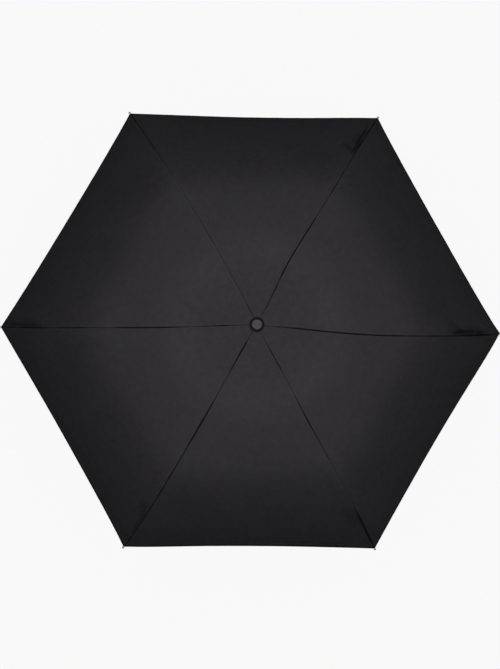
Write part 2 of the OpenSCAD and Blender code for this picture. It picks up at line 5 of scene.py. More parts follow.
import bmesh
import bpy
import numpy as np
from mathutils import Matrix, Vector
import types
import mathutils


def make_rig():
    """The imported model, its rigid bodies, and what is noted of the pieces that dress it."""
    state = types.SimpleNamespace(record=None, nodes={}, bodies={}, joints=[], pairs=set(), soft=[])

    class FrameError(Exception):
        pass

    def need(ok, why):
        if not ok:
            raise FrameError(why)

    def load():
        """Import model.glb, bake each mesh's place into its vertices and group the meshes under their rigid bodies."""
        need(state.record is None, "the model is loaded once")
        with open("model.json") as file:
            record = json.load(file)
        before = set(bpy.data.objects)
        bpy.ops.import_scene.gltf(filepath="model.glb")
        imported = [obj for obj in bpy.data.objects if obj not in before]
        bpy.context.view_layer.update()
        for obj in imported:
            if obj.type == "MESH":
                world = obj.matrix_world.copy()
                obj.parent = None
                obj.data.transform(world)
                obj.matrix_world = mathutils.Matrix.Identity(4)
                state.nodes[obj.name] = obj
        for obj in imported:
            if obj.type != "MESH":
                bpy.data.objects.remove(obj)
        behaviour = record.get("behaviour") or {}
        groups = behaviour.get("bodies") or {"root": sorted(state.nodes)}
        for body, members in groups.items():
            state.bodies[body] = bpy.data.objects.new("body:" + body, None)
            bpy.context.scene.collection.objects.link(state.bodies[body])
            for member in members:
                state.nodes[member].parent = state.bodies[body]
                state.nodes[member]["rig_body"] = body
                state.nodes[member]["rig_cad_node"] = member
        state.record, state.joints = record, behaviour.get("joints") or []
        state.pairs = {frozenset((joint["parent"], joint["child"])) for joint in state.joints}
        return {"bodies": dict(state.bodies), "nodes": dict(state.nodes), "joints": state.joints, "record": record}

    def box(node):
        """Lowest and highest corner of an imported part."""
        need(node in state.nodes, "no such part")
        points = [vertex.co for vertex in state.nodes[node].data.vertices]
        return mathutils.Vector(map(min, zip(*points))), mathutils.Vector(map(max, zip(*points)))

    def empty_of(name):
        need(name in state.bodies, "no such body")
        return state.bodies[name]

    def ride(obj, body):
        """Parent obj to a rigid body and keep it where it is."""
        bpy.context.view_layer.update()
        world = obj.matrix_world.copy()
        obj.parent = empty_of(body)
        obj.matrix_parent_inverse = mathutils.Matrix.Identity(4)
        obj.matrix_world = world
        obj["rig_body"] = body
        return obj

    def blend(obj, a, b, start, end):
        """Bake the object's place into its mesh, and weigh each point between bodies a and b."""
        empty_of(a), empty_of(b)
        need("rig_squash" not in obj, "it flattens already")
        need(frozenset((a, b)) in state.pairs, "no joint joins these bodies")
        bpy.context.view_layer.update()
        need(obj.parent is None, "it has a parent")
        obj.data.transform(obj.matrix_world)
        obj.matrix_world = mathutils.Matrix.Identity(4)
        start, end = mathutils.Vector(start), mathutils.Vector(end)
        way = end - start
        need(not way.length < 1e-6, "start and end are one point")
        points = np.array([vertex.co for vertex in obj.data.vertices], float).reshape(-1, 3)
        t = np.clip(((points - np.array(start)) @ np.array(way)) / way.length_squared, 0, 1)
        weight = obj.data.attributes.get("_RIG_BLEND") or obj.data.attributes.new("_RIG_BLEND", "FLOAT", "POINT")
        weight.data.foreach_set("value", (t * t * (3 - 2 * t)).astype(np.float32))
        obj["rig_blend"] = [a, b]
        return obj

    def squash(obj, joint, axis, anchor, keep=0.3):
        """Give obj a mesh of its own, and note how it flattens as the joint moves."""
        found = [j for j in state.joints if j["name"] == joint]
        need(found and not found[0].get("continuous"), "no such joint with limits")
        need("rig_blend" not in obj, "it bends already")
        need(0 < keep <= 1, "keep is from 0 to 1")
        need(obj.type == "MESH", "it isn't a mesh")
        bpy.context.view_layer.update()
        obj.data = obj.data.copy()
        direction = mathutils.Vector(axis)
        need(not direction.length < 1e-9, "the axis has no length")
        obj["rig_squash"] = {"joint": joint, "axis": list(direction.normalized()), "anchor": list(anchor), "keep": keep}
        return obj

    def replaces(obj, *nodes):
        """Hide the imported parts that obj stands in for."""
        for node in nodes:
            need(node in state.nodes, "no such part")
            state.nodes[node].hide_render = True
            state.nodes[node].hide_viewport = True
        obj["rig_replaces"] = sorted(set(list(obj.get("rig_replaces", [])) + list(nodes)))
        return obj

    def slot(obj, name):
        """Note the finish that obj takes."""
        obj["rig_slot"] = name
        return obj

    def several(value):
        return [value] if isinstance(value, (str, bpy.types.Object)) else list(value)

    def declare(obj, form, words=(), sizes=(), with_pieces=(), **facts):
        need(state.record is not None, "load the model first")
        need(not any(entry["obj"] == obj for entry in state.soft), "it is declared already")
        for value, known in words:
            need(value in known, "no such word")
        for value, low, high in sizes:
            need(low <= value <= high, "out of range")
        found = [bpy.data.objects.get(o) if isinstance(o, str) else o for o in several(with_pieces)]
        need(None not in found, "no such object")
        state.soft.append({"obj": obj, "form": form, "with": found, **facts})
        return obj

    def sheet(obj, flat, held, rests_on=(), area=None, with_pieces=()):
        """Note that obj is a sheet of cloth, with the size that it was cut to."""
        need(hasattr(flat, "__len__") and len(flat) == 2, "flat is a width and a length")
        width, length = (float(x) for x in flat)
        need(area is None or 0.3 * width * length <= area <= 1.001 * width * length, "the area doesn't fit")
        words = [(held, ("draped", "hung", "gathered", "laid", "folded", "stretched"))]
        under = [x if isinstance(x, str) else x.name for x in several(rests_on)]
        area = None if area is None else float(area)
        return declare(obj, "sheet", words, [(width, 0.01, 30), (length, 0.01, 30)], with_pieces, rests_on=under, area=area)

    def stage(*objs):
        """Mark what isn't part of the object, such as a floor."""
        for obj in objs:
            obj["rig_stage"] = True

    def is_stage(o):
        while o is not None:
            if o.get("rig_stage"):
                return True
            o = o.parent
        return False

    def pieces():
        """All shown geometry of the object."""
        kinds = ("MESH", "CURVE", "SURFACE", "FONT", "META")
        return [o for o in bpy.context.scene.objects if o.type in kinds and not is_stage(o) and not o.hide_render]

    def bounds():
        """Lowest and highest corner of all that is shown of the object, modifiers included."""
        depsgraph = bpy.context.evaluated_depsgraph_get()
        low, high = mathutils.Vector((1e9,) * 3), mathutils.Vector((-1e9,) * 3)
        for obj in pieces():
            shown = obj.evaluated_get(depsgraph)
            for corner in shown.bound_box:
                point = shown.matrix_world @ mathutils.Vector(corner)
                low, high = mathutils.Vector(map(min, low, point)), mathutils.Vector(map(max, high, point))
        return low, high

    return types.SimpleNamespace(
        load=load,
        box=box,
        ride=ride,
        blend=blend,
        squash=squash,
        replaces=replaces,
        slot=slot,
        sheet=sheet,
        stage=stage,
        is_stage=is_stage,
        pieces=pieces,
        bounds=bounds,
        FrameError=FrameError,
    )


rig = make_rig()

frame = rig.load()
cad_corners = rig.bounds()

MM = 0.001
RIBS = range(1, 7)
NEXT = math.radians(60)
TAN30 = math.tan(math.radians(30))
COS30 = math.cos(math.radians(30))

# ---- Places taken from the frame ----

hinge_at = {j["name"]: np.array(j["pos_m"], float) for j in frame["joints"] if "pos_m" in j}
elbow_r = math.hypot(*hinge_at["elbow_hinge_1"][:2])
outer_r = math.hypot(*hinge_at["outer_hinge_1"][:2])


def solid_points(node):
    """The corners of a CAD node's mesh as an array of rows x, y, z."""
    mesh = frame["nodes"][node].data
    found = np.empty(3 * len(mesh.vertices), np.float32)
    mesh.vertices.foreach_get("co", found)
    return found.reshape(-1, 3).astype(float)


def underside_over_rib():
    """The solid fabric's lower line over rib 1, from its centre hole to the tip, as radii and heights."""
    corners = solid_points("canopy_panel_1")
    over = corners[np.abs(corners[:, 1]) < 1e-5]
    radii = np.unique(np.round(over[:, 0], 5))
    return radii, np.array([over[np.abs(over[:, 0] - r) < 2e-5, 2].min() for r in radii])


def natural_spline(xs, ys):
    """Natural cubic spline: its bends at the knots solve the three-term equations and are nil at both ends."""
    n, h = len(xs), np.diff(xs)
    left, right = np.eye(n), np.zeros(n)
    k = np.arange(1, n - 1)
    left[k, k - 1], left[k, k], left[k, k + 1] = h[:-1], 2 * (h[:-1] + h[1:]), h[1:]
    right[1:-1] = 6 * (np.diff(ys[1:]) / h[1:] - np.diff(ys[:-1]) / h[:-1])
    bend = np.linalg.solve(left, right)

    def at(x):
        k = np.clip(np.searchsorted(xs, x) - 1, 0, n - 2)
        t, u = x - xs[k], xs[k + 1] - x
        return ((bend[k] * u ** 3 + bend[k + 1] * t ** 3) / (6 * h[k])
                + (ys[k] / h[k] - bend[k] * h[k] / 6) * u + (ys[k + 1] / h[k] - bend[k + 1] * h[k] / 6) * t)
    return at


line_r, line_z = underside_over_rib()
hole_r, tip_r = line_r[0], line_r[-1]
knot_r = np.array([hole_r, (hole_r + elbow_r) / 2, elbow_r, (elbow_r + outer_r) / 2, outer_r,
                   (outer_r + tip_r) / 2, tip_r])
# How far the cloth's middle stands above the solid's lower line at each knot
knot_lift = np.array([0.35, 0.35, 0.5, 2.6, 0.6, 0.8, 0.35]) * MM
over_rib = natural_spline(knot_r, np.interp(knot_r, line_r, line_z) + knot_lift)

# ---- Small tools for arrays and meshes ----


def smooth(a, b, x):
    """Rises from 0 at a to 1 at b along the cubic 3t2 - 2t3, and falls where b is less than a."""
    t = np.clip((x - a) / (b - a), 0, 1)
    return t * t * (3 - 2 * t)


def hump(x, middle, width):
    """A bell of height 1 round the middle, down to 0.37 at the width."""
    return np.exp(-((x - middle) / width) ** 2)


def turn_about_shaft(points, angle):
    """Points turned by the angle about the shaft's axis."""
    c, s = math.cos(angle), math.sin(angle)
    x, y, z = points[..., 0], points[..., 1], points[..., 2]
    return np.stack([c * x - s * y, s * x + c * y, z], -1)


def put_mesh(name, points, faces, finish, smooth_faces=True):
    """A mesh object at the origin from points and faces, with one finish."""
    mesh = bpy.data.meshes.new(name)
    mesh.from_pydata(points.tolist(), [], [list(map(int, f)) for f in faces])
    mesh.polygons.foreach_set("use_smooth", np.full(len(mesh.polygons), smooth_faces))
    mesh.materials.append(finish)
    mesh.update()
    thing = bpy.data.objects.new(name, mesh)
    bpy.context.scene.collection.objects.link(thing)
    return thing


def grid_faces(rows, columns, start=0, wrap=False):
    """Four-sided faces of a grid numbered row by row. With wrap, the last column meets the first."""
    r = np.arange(rows - 1)[:, None]
    c = np.arange(columns if wrap else columns - 1)[None, :]
    d = (c + 1) % columns
    a, b = r * columns + c, r * columns + d
    return (np.stack([a, b, b + columns, a + columns], -1) + start).reshape(-1, 4)


def shell_faces(rows, columns, flip=False):
    """Faces of a closed sheet between two grids numbered one after the other: upper, lower and rim."""
    count = rows * columns
    last = count - columns
    upper = grid_faces(rows, columns)
    edge = np.concatenate([np.arange(columns), np.arange(1, rows) * columns + columns - 1,
                           last + np.arange(columns - 2, -1, -1), np.arange(rows - 2, 0, -1) * columns])
    after = np.roll(edge, -1)
    rim = np.stack([after, edge, edge + count, after + count], -1)
    if flip:
        upper, rim = upper[:, ::-1], rim[:, ::-1]
    return upper, upper[:, ::-1] + count, rim


def round_corners(profile, radius, steps=5):
    """The profile with each inner corner swapped for a quadratic curve between two points at the radius."""
    p = np.array(profile, float)
    out = [p[:1]]
    t = np.linspace(0, 1, steps)[:, None]
    for before, here, after in zip(p[:-2], p[1:-1], p[2:]):
        reach_in = min(radius, 0.45 * np.linalg.norm(before - here))
        reach_out = min(radius, 0.45 * np.linalg.norm(after - here))
        a = here + (before - here) / np.linalg.norm(before - here) * reach_in
        b = here + (after - here) / np.linalg.norm(after - here) * reach_out
        out.append((1 - t) ** 2 * a + 2 * t * (1 - t) * here + t ** 2 * b)
    out.append(p[-1:])
    return np.concatenate(out)


def turned(name, profile, finish, sides=96, place=None, sharp=35):
    """Surface of revolution: each radius and height of the profile goes round the Z axis, and the place
    matrix moves the result. An end at radius 0 closes in one pole. With no pole, the two ends join."""
    p = np.array(profile, float)
    poles = [k for k in (0, len(p) - 1) if p[k, 0] < 1e-9]
    body = np.array([k for k in range(len(p)) if k not in poles])
    angle = np.linspace(0, 2 * math.pi, sides, endpoint=False)
    ring = np.stack([p[body, 0, None] * np.cos(angle), p[body, 0, None] * np.sin(angle),
                     np.repeat(p[body, 1, None], sides, 1)], -1).reshape(-1, 3)
    faces = list(grid_faces(len(body), sides, wrap=True)[:, ::-1])
    points = [ring]
    edge = np.arange(sides)
    for k in poles:
        centre = len(ring) + len(points) - 1
        points.append(np.array([[0.0, 0.0, p[k, 1]]]))
        start = 0 if k == 0 else (len(body) - 1) * sides
        one, two = start + edge, start + (edge + 1) % sides
        fan = np.stack([np.full(sides, centre), one, two], -1)
        faces += list(fan[:, ::-1] if k else fan)
    if not poles:
        last = (len(body) - 1) * sides
        faces += list(np.stack([edge, (edge + 1) % sides, last + (edge + 1) % sides, last + edge], -1))
    points = np.concatenate(points)
    if place is not None:
        m = np.array(place)
        points = points @ m[:3, :3].T + m[:3, 3]
    thing = put_mesh(name, points, faces, finish)
    face_outwards(thing)
    mark_sharp(thing, sharp)
    return thing


def face_outwards(thing):
    """Recalculates a closed mesh's faces so that they point out of it."""
    work = bmesh.new()
    work.from_mesh(thing.data)
    bmesh.ops.recalc_face_normals(work, faces=work.faces)
    work.to_mesh(thing.data)
    work.free()


def mark_sharp(thing, degrees):
    """Marks the edges that turn by more than the angle, so that the shading breaks there."""
    thing.data.set_sharp_from_angle(angle=math.radians(degrees))


def swept(name, path, outline, finish, up=(0, 0, 1), closed=False):
    """A flat outline carried along a path: each point of the path gets the outline in the plane across it,
    turned so that its second axis leans towards up. The ends are closed, or meet each other when closed."""
    path, outline = np.array(path, float), np.array(outline, float)
    ahead = np.roll(path, -1, 0) - np.roll(path, 1, 0) if closed else np.gradient(path, axis=0)
    ahead /= np.linalg.norm(ahead, axis=1)[:, None]
    side = np.cross(ahead, np.broadcast_to(np.array(up, float), ahead.shape))
    side /= np.linalg.norm(side, axis=1)[:, None]
    rise = np.cross(side, ahead)
    n = len(outline)
    sideways = outline[None, :, 0, None] * side[:, None]
    upward = outline[None, :, 1, None] * rise[:, None]
    points = (path[:, None] + sideways + upward).reshape(-1, 3)
    faces = list(grid_faces(len(path), n, wrap=True))
    if closed:
        e = np.arange(n)
        last = (len(path) - 1) * n
        faces += list(np.stack([last + e, last + (e + 1) % n, (e + 1) % n, e], -1))
    else:
        faces += [np.arange(n)[::-1], np.arange(n) + (len(path) - 1) * n]
    thing = put_mesh(name, points, faces, finish)
    face_outwards(thing)
    return thing


# ---- Finishes ----

HEM = 8 * MM
HEM_GROOVE = HEM + 0.2 * MM
CLOTH_SHINE = 0.015


class Shader:
    """A material's nodes: short calls that add a node, join it and give back its output."""

    def __init__(self, name):
        self.material = bpy.data.materials.new(name)
        self.material.use_nodes = True
        self.nodes, self.links = self.material.node_tree.nodes, self.material.node_tree.links
        self.nodes.clear()
        self.out = self.nodes.new("ShaderNodeOutputMaterial")
        self.skin = self.nodes.new("ShaderNodeBsdfPrincipled")
        self.links.new(self.skin.outputs[0], self.out.inputs[0])

    def put(self, socket, value):
        """Sets a socket to a number, or joins it to an output."""
        if isinstance(value, bpy.types.NodeSocket):
            self.links.new(value, socket)
        else:
            socket.default_value = value

    def calc(self, kind, a, b=None, c=None):
        """A maths node of one kind, fed with up to three values."""
        node = self.nodes.new("ShaderNodeMath")
        node.operation = kind
        for k, v in enumerate((a, b, c)):
            if v is not None:
                self.put(node.inputs[k], v)
        return node.outputs[0]

    def ramp(self, value, low, high, to_low=0.0, to_high=1.0):
        """Carries low..high to to_low..to_high along a smooth step."""
        node = self.nodes.new("ShaderNodeMapRange")
        node.interpolation_type = "SMOOTHSTEP"
        for k, v in enumerate((value, low, high, to_low, to_high)):
            self.put(node.inputs[k], v)
        return node.outputs[0]

    def from_object(self, scale=(1, 1, 1)):
        """The place in the object's own axes, stretched by the scale."""
        where = self.nodes.new("ShaderNodeTexCoord").outputs["Object"]
        node = self.nodes.new("ShaderNodeMapping")
        self.links.new(where, node.inputs[0])
        node.inputs["Scale"].default_value = scale
        return node.outputs[0]

    def attribute(self, name):
        """A number stored on the mesh's points."""
        node = self.nodes.new("ShaderNodeAttribute")
        node.attribute_name = name
        return node.outputs["Fac"]

    def noise(self, where, scale, detail=3.0, rough=0.5):
        """Soft noise between 0 and 1, round about 0.5."""
        node = self.nodes.new("ShaderNodeTexNoise")
        self.links.new(where, node.inputs["Vector"])
        node.inputs["Scale"].default_value = scale
        node.inputs["Detail"].default_value = detail
        node.inputs["Roughness"].default_value = rough
        return node.outputs["Fac"]

    def mix(self, share, a, b):
        """The colour a with a share of the colour b."""
        node = self.nodes.new("ShaderNodeMix")
        node.data_type = "RGBA"
        self.put(node.inputs[0], share)
        self.put(node.inputs[6], a)
        self.put(node.inputs[7], b)
        return node.outputs[2]

    def bump(self, height, distance, strength=1.0, over=None):
        """Shading of a relief of the given height, laid over another one where it is given."""
        node = self.nodes.new("ShaderNodeBump")
        node.inputs["Strength"].default_value = strength
        node.inputs["Distance"].default_value = distance
        self.links.new(height, node.inputs["Height"])
        if over is not None:
            self.links.new(over, node.inputs["Normal"])
        return node.outputs[0]

    def wear(self, **values):
        """Sets the skin's sockets by name."""
        for key, value in values.items():
            self.put(self.skin.inputs[key.replace("_", " ")], value)


def stitch_row(s, off, place, run, pitch):
    """A dashed line of thread: a thin band where off equals the place, cut along the run once per pitch."""
    row = s.ramp(s.calc("ABSOLUTE", s.calc("SUBTRACT", off, place)), 0.12 * MM, 0.34 * MM, 1.0, 0.0)
    dash = s.ramp(s.calc("SINE", s.calc("MULTIPLY", run, 2 * math.pi / pitch)), -0.5, 0.1)
    return s.calc("MULTIPLY", row, dash)


def pongee():
    """Near-black woven polyester: fine weave, a mottle, painted shade in the seam and hem grooves, in the creases and
    at the hem's edge, and rows of stitches.
    The outer third gets painted shade, a little darker than the rest, and a band inside it gets a little painted light."""
    s = Shader("canopy_cloth")
    seam, run, hem, hem_run, gape, dent = (s.attribute(n) for n in (
        "from_seam", "along_rib", "from_hem", "along_hem", "seam_open", "crease"))
    cloth = s.nodes.new("ShaderNodeUVMap")
    cloth.uv_map = "cloth"
    parts = s.nodes.new("ShaderNodeSeparateXYZ")
    s.links.new(cloth.outputs[0], parts.inputs[0])
    turns = 2 * math.pi / (0.45 * MM)
    warp = s.calc("SINE", s.calc("MULTIPLY", parts.outputs[0], turns))
    weft = s.calc("SINE", s.calc("MULTIPLY", parts.outputs[1], turns))
    weave = s.calc("MULTIPLY", warp, weft)
    mottle = s.noise(cloth.outputs[0], 75.0, 5.0, 0.75)
    patch = s.calc("MULTIPLY_ADD", mottle, 0.7, s.calc("MULTIPLY", s.noise(cloth.outputs[0], 9.0, 2.0), 0.3))
    slub = s.noise(cloth.outputs[0], 420.0, 2.0)
    off_seam = s.calc("ABSOLUTE", seam)
    wide = s.calc("MULTIPLY_ADD", gape, 0.9 * MM, 0.8 * MM)
    # seam_line marks the seam's groove: the colour is darkened there as painted shade, and the roughness raised.
    seam_line = s.calc("MULTIPLY", s.ramp(off_seam, s.calc("MULTIPLY", wide, 0.4), wide, 1.0, 0.0),
                      s.calc("MINIMUM", gape, 1.0))
    painted_hem_groove_shade = s.ramp(s.calc("ABSOLUTE", s.calc("SUBTRACT", hem, HEM_GROOVE)), 0.3 * MM, 1.1 * MM, 1.0, 0.0)
    stitches = s.calc("ADD", stitch_row(s, off_seam, 3.1 * MM, run, 2.6 * MM),
                     stitch_row(s, hem, 6.8 * MM, hem_run, 2.8 * MM))
    colour = s.mix(patch, (0.0150, 0.0141, 0.0158, 1), (0.0460, 0.0435, 0.0482, 1))
    # Painted light: a band from 105 to 340 mm inside the hem is mixed a little lighter.
    painted_light_band = s.calc("SUBTRACT", s.ramp(hem, 105 * MM, 185 * MM), s.ramp(hem, 255 * MM, 340 * MM))
    colour = s.mix(s.calc("MULTIPLY", painted_light_band, 0.13), colour, (0.060, 0.057, 0.063, 1))
    # Painted shade in the creases, as deep as the crease attribute says.
    painted_crease_shade = s.calc("MINIMUM", s.calc("MULTIPLY", dent, 1.15), 0.9)
    # Painted shade: darker over the outer 170 mm towards the hem, more within 60 mm, darkest at the hem's edge, and in
    # the creases and the seam groove.
    painted_shades = (s.ramp(hem, 85 * MM, 170 * MM, 0.19, 0.0), s.ramp(hem, 5 * MM, 60 * MM, 0.12, 0.0),
              s.ramp(hem, 1.5 * MM, 3.8 * MM, 0.85, 0.0), painted_crease_shade, s.calc("MULTIPLY", seam_line, 0.88))
    for shade in painted_shades:
        colour = s.mix(shade, colour, (0.003, 0.003, 0.0032, 1))
    # Painted shade: a thin dark line in the hem's stitched groove.
    colour = s.mix(s.calc("MULTIPLY", painted_hem_groove_shade, 0.35), colour, (0.006, 0.006, 0.0065, 1))
    colour = s.mix(s.calc("MULTIPLY", stitches, 0.5), colour, (0.05, 0.048, 0.052, 1))
    rough = s.ramp(s.noise(cloth.outputs[0], 30.0, 3.0), 0.3, 0.7, 0.52, 0.6)
    rough = s.calc("ADD", rough, s.calc("MULTIPLY", seam_line, 0.3))
    height = s.calc("ADD", s.calc("MULTIPLY", weave, 0.16), s.calc("MULTIPLY", slub, 0.3))
    fine = s.bump(height, 0.06 * MM, 0.5)
    s.wear(Base_Color=colour, Roughness=rough, Specular_IOR_Level=CLOTH_SHINE,
           Normal=s.bump(stitches, 0.25 * MM, 0.7, fine))
    return s.material


def moulded(name, base, rough, grain, depth, specular=0.5):
    """Moulded plastic: fine spark-eroded grain, slight mottling and a duller bloom."""
    s = Shader(name)
    where = s.from_object()
    cloud = s.noise(where, 45.0, 4.0)
    dull = tuple(c * 0.82 for c in base) + (1,)
    bright = tuple(min(1, c * 1.15 + 0.001) for c in base) + (1,)
    s.wear(Base_Color=s.mix(cloud, dull, bright),
           Roughness=s.ramp(cloud, 0.25, 0.75, rough - 0.05, rough + 0.07), Specular_IOR_Level=specular,
           Normal=s.bump(s.noise(where, grain, 2.0), depth * MM, 0.6))
    return s.material


def rubber_touch():
    """Soft-touch coating: deep black, very fine grain, rubbed a little smoother in patches."""
    s = Shader("grip_coating")
    where = s.from_object()
    rubbed = s.noise(where, 28.0, 5.0, 0.6)
    s.wear(Base_Color=s.mix(rubbed, (0.012, 0.012, 0.013, 1), (0.022, 0.022, 0.0235, 1)),
           Roughness=s.ramp(rubbed, 0.3, 0.7, 0.52, 0.72), Specular_IOR_Level=0.4,
           Normal=s.bump(s.noise(where, 2600.0, 2.0), 0.05 * MM, 0.7))
    return s.material


def plated(name, base, rough, streak=(700, 700, 14), depth=0.012):
    """Plated steel: drawing lines along one axis, and faint clouding that darkens it in patches."""
    s = Shader(name)
    lines = s.noise(s.from_object(streak), 1.0, 3.0, 0.6)
    cloud = s.noise(s.from_object(), 60.0, 4.0, 0.6)
    dark = tuple(c * 0.86 for c in base) + (1,)
    s.wear(Base_Color=s.mix(s.ramp(cloud, 0.35, 0.7), dark, tuple(base) + (1,)), Metallic=1.0,
           Roughness=s.calc("ADD", s.ramp(cloud, 0.2, 0.8, rough - 0.05, rough + 0.06),
                           s.calc("MULTIPLY", lines, 0.06)),
           Normal=s.bump(lines, depth * MM, 0.5))
    return s.material


def thread_finish():
    """Black polyester thread with a fine twist."""
    s = Shader("tie_thread")
    twist = s.noise(s.from_object((1, 1, 3)), 2400.0, 1.0)
    s.wear(Base_Color=s.mix(twist, (0.008, 0.008, 0.009, 1), (0.03, 0.03, 0.032, 1)), Roughness=0.8,
           Normal=s.bump(twist, 0.1 * MM, 0.8))
    return s.material


def plain_cloth():
    """The same cloth where it has no seam of its own: weave and slubs on the object's own axes."""
    s = Shader("plain_cloth")
    parts = s.nodes.new("ShaderNodeSeparateXYZ")
    s.links.new(s.from_object(), parts.inputs[0])
    turns = 2 * math.pi / (0.5 * MM)
    weave = s.calc("MULTIPLY", s.calc("SINE", s.calc("MULTIPLY", parts.outputs[0], turns)),
                  s.calc("SINE", s.calc("MULTIPLY", parts.outputs[1], turns)))
    patch = s.noise(s.from_object(), 60.0, 2.0)
    s.wear(Base_Color=s.mix(patch, (0.029, 0.0272, 0.0302, 1), (0.0345, 0.0326, 0.0362, 1)),
           Roughness=s.ramp(patch, 0.3, 0.7, 0.52, 0.6), Specular_IOR_Level=CLOTH_SHINE,
           Normal=s.bump(weave, 0.05 * MM, 0.6))
    return s.material


def hook_tape():
    """Hook tape: a dull bed of tiny stiff loops."""
    s = Shader("hook_tape")
    cells = s.nodes.new("ShaderNodeTexVoronoi")
    s.links.new(s.from_object(), cells.inputs["Vector"])
    cells.inputs["Scale"].default_value = 1500.0
    depth = cells.outputs["Distance"]
    s.wear(Base_Color=s.mix(depth, (0.03, 0.03, 0.032, 1), (0.007, 0.007, 0.008, 1)), Roughness=0.75,
           Specular_IOR_Level=0.4, Normal=s.bump(depth, 0.3 * MM, 0.8))
    return s.material


CLOTH = pongee()
CLOTH_PLAIN = plain_cloth()
HOOKS = hook_tape()
CAP_GREY = moulded("cap_plastic", (0.051, 0.0495, 0.0515), 0.5, 1500.0, 0.012, 0.1)
BLACK = moulded("black_nylon", (0.012, 0.012, 0.0135), 0.42, 1100.0, 0.025)
# A darker, duller copy of black_nylon for the top ring: its darker colour is painted shade, for a ring that sits in
# shade.
BLACK_PAINTED_SHADE = moulded("black_nylon_painted_shade", (0.0032, 0.0032, 0.0034), 0.6, 1100.0, 0.02, 0.055)
GRIP = rubber_touch()
TUBE = plated("tube_plating", (0.60, 0.61, 0.62), 0.24)
RIB = plated("rib_plating", (0.50, 0.51, 0.53), 0.34, (900, 900, 900), 0.02)
SPRING = plated("spring_wire", (0.62, 0.62, 0.63), 0.2, (500, 500, 500), 0.01)
THREAD = thread_finish()

# ---- Fabric ----

# Sideways wander of each seam: how far it leaves its rib, in mm, at shares of the radius
WANDER_AT = np.array([0.0, 0.12, 0.22, 0.40, 0.55, 0.80, 0.95, 1.0])
WANDER = {
    1: np.array([-1.5, -4.5, -8.0, -13.0, -13.0, -9.0, -3.5, -1.0]),
    2: np.array([0.5, 3.0, 7.0, 7.0, 5.0, 3.5, 1.5, 0]),
    3: np.array([-1.0, -3.5, -5.0, -6.0, -5.5, -3.5, -1.0, 0]),
    4: np.array([1.0, 2.2, 3.8, 5.5, 5.0, 3.5, 1.0, 0]),
    5: np.array([0, 0.8, 2.2, 4.5, 5.5, 5.5, 2.5, 0]),
    6: np.array([0, -0.8, -0.5, -2.0, -0.5, 0.5, -0.2, 0]),
}
wander_line = {i: natural_spline(WANDER_AT * tip_r, WANDER[i] * MM) for i in RIBS}

# How open each seam is, and how much painted shade its groove gets, at shares of the radius: 1 is a plain felled seam,
# more is a fold that stands open
OPEN_AT = np.array([0.05, 0.13, 0.22, 0.32, 0.42, 0.50, 0.58, 0.68, 0.80, 0.92, 1.0])
OPEN = {
    1: np.array([0.5, 1.0, 1.4, 1.3, 1.3, 0.95, 0.95, 0.8, 0.9, 1.1, 0.6]),
    2: np.array([0.5, 0.9, 1.1, 1.2, 1.1, 0.6, 0.75, 0.65, 0.7, 0.9, 0.6]),
    3: np.array([0.55, 0.4, 0.4, 0.45, 0.45, 0.3, 0.15, 0.15, 0.6, 0.6, 0.8]),
    4: np.array([0.4, 0.8, 0.5, 1.0, 1.3, 0.8, 0.5, 0.8, 0.6, 0.8, 0.5]),
    5: np.array([0.5, 1.3, 0.6, 0.9, 1.8, 1.3, 0.8, 1.0, 0.7, 0.6, 0.5]),
    6: np.array([0.3, 0.9, 0.5, 0.6, 1.1, 0.7, 0.5, 0.15, 0.2, 1.1, 1.0]),
}
open_line = {i: natural_spline(OPEN_AT * tip_r, OPEN[i]) for i in RIBS}


def seam_open(rib, x):
    """How open a seam is at a radius: its table as a spline, with a slow beat along the stitches."""
    at = np.clip(x, OPEN_AT[0] * tip_r, tip_r)
    beat = 1 + 0.12 * np.sin(x / (5.5 * MM) + rib) + 0.1 * np.sin(x / (13 * MM) + 2.3 * rib)
    return np.clip(open_line[rib](at) * beat, 0.05, 2)


# Creases that the pull of each tip leaves: rib, start radius (share) and offset (mm), end radius (share) and
# offset (mm), width (mm), depth (share). The depth sets both the dip in the cloth and the painted shade in it.
CREASES = [
    (1, 0.775, 5.5, 0.925, 3.5, 3.6, 1.0), (1, 0.80, 8.5, 0.88, 7.0, 1.6, 0.5),
    (1, 0.76, 22, 0.82, 8, 5.5, 0.3), (1, 0.84, 13, 0.90, 9, 6.0, 0.25),
    (2, 0.79, 3.5, 0.93, 6.0, 3.4, 0.9), (2, 0.815, 26, 0.795, 4, 6.0, 0.4),
    (2, 0.83, 12, 0.88, 11, 5.5, 0.35),
    (3, 0.80, 3, 0.93, -6, 2.2, 0.2),
    (4, 0.82, -2, 0.965, -5.5, 3.4, 0.6), (4, 0.84, -10, 0.92, -12, 7.0, 0.2),
    (5, 0.79, -16, 0.85, -3, 9.0, 0.3), (5, 0.83, -3, 0.93, -3, 3.0, 0.4),
    (6, 0.78, -18, 0.87, -10, 11.0, 0.25), (6, 0.81, -1, 0.975, 1.5, 2.8, 0.65),
]
# Slack streaks beside the seams, in mm: rib, offset from the seam, inner and outer radius, width, height
STREAKS = [
    (1, 15, 215, 330, 7, 0.9), (1, -16, 235, 345, 7, 0.8),
    (2, 14, 200, 320, 7, 0.8), (2, -15, 230, 340, 7, 0.9),
    (3, 15, 225, 335, 7, 0.8), (3, -14, 210, 320, 7, 0.8),
    (4, 16, 220, 335, 7, 0.9), (4, -15, 215, 325, 7, 0.8),
    (5, 15, 225, 330, 7, 0.8), (5, -15, 220, 335, 7, 0.9),
    (6, 15, 215, 325, 7, 0.8), (6, -16, 225, 340, 7, 0.9),
]
# Slackness of the six panels, as a share of the usual sag
SLACK = [1.1, 0.85, 1.0, 1.15, 0.9, 1.05]
SAG = 5.0 * MM
CLOTH_T = 0.4 * MM
